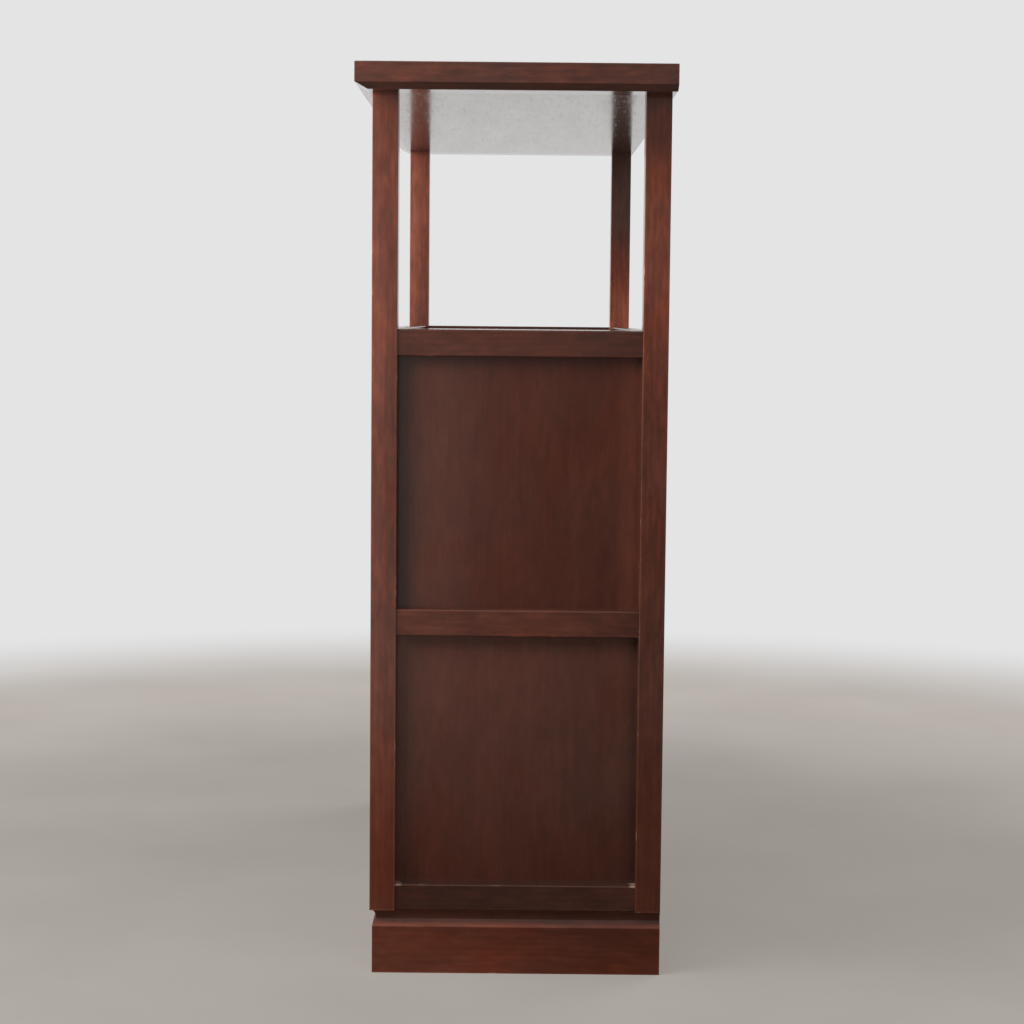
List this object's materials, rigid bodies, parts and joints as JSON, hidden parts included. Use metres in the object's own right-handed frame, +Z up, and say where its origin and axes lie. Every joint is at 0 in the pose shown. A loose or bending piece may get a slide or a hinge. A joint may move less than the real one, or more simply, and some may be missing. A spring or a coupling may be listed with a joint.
{
  "type": "display shelf",
  "caption": "Korean-style display shelf: an open tier on slender posts over cupboards with panelled ends and hinged doors, on a moulded plinth.",
  "frame": {"origin": "on the floor, under the middle of the top", "axes": "+Z up; the doors face -Y; +X is to the right of a person who faces the doors"},
  "size_m": [1.047, 0.3656, 1.062],
  "materials": {
    "lacquered_wood": "dark red-brown satin lacquer over solid wood",
    "plain_wood": "unfinished wood out of sight",
    "aged_brass": "brass dulled by age"
  },
  "bodies": {
    "case": {"base_front_rail": "lacquered_wood", "base_left_rail": "lacquered_wood", "base_rear_rail": "lacquered_wood", "base_right_rail": "lacquered_wood", "deck_board": "lacquered_wood", "deck_front_rail": "lacquered_wood", "deck_left_rail": "lacquered_wood", "deck_rear_rail": "lacquered_wood", "deck_right_rail": "lacquered_wood", "door_muntins": "lacquered_wood", "door_stops": "lacquered_wood", "fixed_hinge_leaves": "aged_brass", "floor_board": "lacquered_wood", "hinge_pins": "aged_brass", "lower_back_panel": "lacquered_wood", "lower_front_panels": "lacquered_wood", "lower_left_end_panel": "lacquered_wood", "lower_right_end_panel": "lacquered_wood", "middle_front_rail": "lacquered_wood", "middle_left_rail": "lacquered_wood", "middle_rear_rail": "lacquered_wood", "middle_right_rail": "lacquered_wood", "middle_shelf": "lacquered_wood", "plinth_blocks": "plain_wood", "plinth_dowels": "plain_wood", "plinth_front": "lacquered_wood", "plinth_left": "lacquered_wood", "plinth_rear": "lacquered_wood", "plinth_right": "lacquered_wood", "post_front_left": "lacquered_wood", "post_front_right": "lacquered_wood", "post_rear_left": "lacquered_wood", "post_rear_right": "lacquered_wood", "top_board": "lacquered_wood", "top_cleat_left": "lacquered_wood", "top_cleat_right": "lacquered_wood", "upper_back_panel": "lacquered_wood", "upper_front_panels": "lacquered_wood", "upper_left_end_panel": "lacquered_wood", "upper_right_end_panel": "lacquered_wood"},
    "upper_left_door": {"upper_left_door_frame": "lacquered_wood", "upper_left_door_panel": "lacquered_wood", "upper_left_door_leaves": "aged_brass", "upper_left_pull_plate": "aged_brass"},
    "upper_left_ring": {"upper_left_pull_ring": "aged_brass"},
    "upper_right_door": {"upper_right_door_frame": "lacquered_wood", "upper_right_door_panel": "lacquered_wood", "upper_right_door_leaves": "aged_brass", "upper_right_pull_plate": "aged_brass"},
    "upper_right_ring": {"upper_right_pull_ring": "aged_brass"},
    "lower_left_door": {"lower_left_door_frame": "lacquered_wood", "lower_left_door_panel": "lacquered_wood", "lower_left_door_leaves": "aged_brass", "lower_left_pull_plate": "aged_brass"},
    "lower_left_ring": {"lower_left_pull_ring": "aged_brass"},
    "lower_right_door": {"lower_right_door_frame": "lacquered_wood", "lower_right_door_panel": "lacquered_wood", "lower_right_door_leaves": "aged_brass", "lower_right_pull_plate": "aged_brass"},
    "lower_right_ring": {"lower_right_pull_ring": "aged_brass"}
  },
  "joints": [
    {"name": "upper_left_door_swing", "type": "hinge", "parent": "case", "child": "upper_left_door", "pos_m": [-0.216, -0.16565, 0.5825], "axis": [0, 0, -1], "range_deg": [0, 170]},
    {"name": "upper_left_ring_lift", "type": "hinge", "parent": "upper_left_door", "child": "upper_left_ring", "pos_m": [-0.01575, -0.16615, 0.5895], "axis": [-1, 0, 0], "range_deg": [0, 85]},
    {"name": "upper_right_door_swing", "type": "hinge", "parent": "case", "child": "upper_right_door", "pos_m": [0.216, -0.16565, 0.5825], "axis": [0, 0, 1], "range_deg": [0, 170]},
    {"name": "upper_right_ring_lift", "type": "hinge", "parent": "upper_right_door", "child": "upper_right_ring", "pos_m": [0.01575, -0.16615, 0.5895], "axis": [-1, 0, 0], "range_deg": [0, 85]},
    {"name": "lower_left_door_swing", "type": "hinge", "parent": "case", "child": "lower_left_door", "pos_m": [-0.216, -0.16565, 0.25525], "axis": [0, 0, -1], "range_deg": [0, 170]},
    {"name": "lower_left_ring_lift", "type": "hinge", "parent": "lower_left_door", "child": "lower_left_ring", "pos_m": [-0.01575, -0.16615, 0.26225], "axis": [-1, 0, 0], "range_deg": [0, 85]},
    {"name": "lower_right_door_swing", "type": "hinge", "parent": "case", "child": "lower_right_door", "pos_m": [0.216, -0.16565, 0.25525], "axis": [0, 0, 1], "range_deg": [0, 170]},
    {"name": "lower_right_ring_lift", "type": "hinge", "parent": "lower_right_door", "child": "lower_right_ring", "pos_m": [0.01575, -0.16615, 0.26225], "axis": [-1, 0, 0], "range_deg": [0, 85]}
  ]
}
